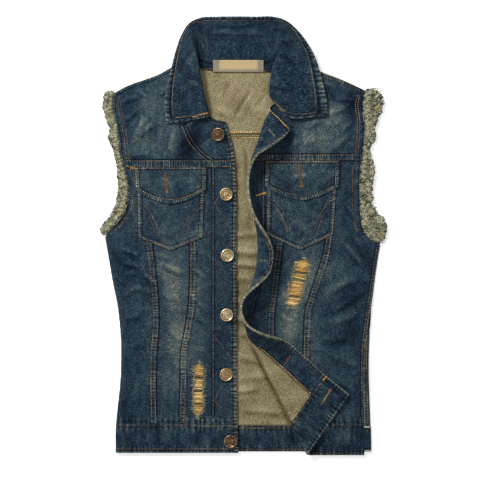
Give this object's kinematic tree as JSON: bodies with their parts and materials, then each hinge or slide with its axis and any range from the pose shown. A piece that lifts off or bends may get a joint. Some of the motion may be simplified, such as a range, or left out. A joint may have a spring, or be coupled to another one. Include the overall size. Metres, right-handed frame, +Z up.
{
  "type": "denim vest",
  "caption": "Sleeveless denim vest laid flat, with a turned-down collar, chest pockets, frayed armholes and one front edge rolled back.",
  "frame": {"origin": "on the surface the vest lies on, under the middle of its outline", "axes": "+Z up, away from the surface; +Y from the hem towards the collar; +X towards the side whose front edge is rolled back, which is the wearer's left"},
  "size_m": [0.4796, 0.7368, 0.0472],
  "materials": {
    "denim": "matte",
    "denim_band": "matte",
    "denim_inside": "matte",
    "fray": "matte",
    "bare_threads": "matte",
    "label": "satin",
    "brass": "antique"
  },
  "bodies": {
    "root": {"back_panel": "denim_inside", "back_yoke": "denim_inside", "button_1": "brass", "button_2": "brass", "button_3": "brass", "button_4": "brass", "button_5": "brass", "button_6": "brass", "collar": "denim_band", "fray_back_left": "fray", "fray_back_right": "fray", "fray_front_left": "fray", "fray_front_right": "fray", "front_left_inner": "denim", "front_left_middle": "denim", "front_left_side": "denim", "front_left_yoke": "denim", "front_right_facing": "denim_band", "front_right_inner": "denim", "front_right_lapel_facing": "denim_band", "front_right_middle": "denim", "front_right_side": "denim", "front_right_yoke": "denim", "hem_band_back": "denim_band", "hem_band_front_left": "denim_band", "hem_band_front_right": "denim_band", "neck_label": "label", "pocket_flap_left": "denim_band", "pocket_flap_right": "denim_band", "pocket_left": "denim", "pocket_right": "denim", "rip_threads_left": "bare_threads", "rip_threads_right": "bare_threads"}
  },
  "joints": []
}
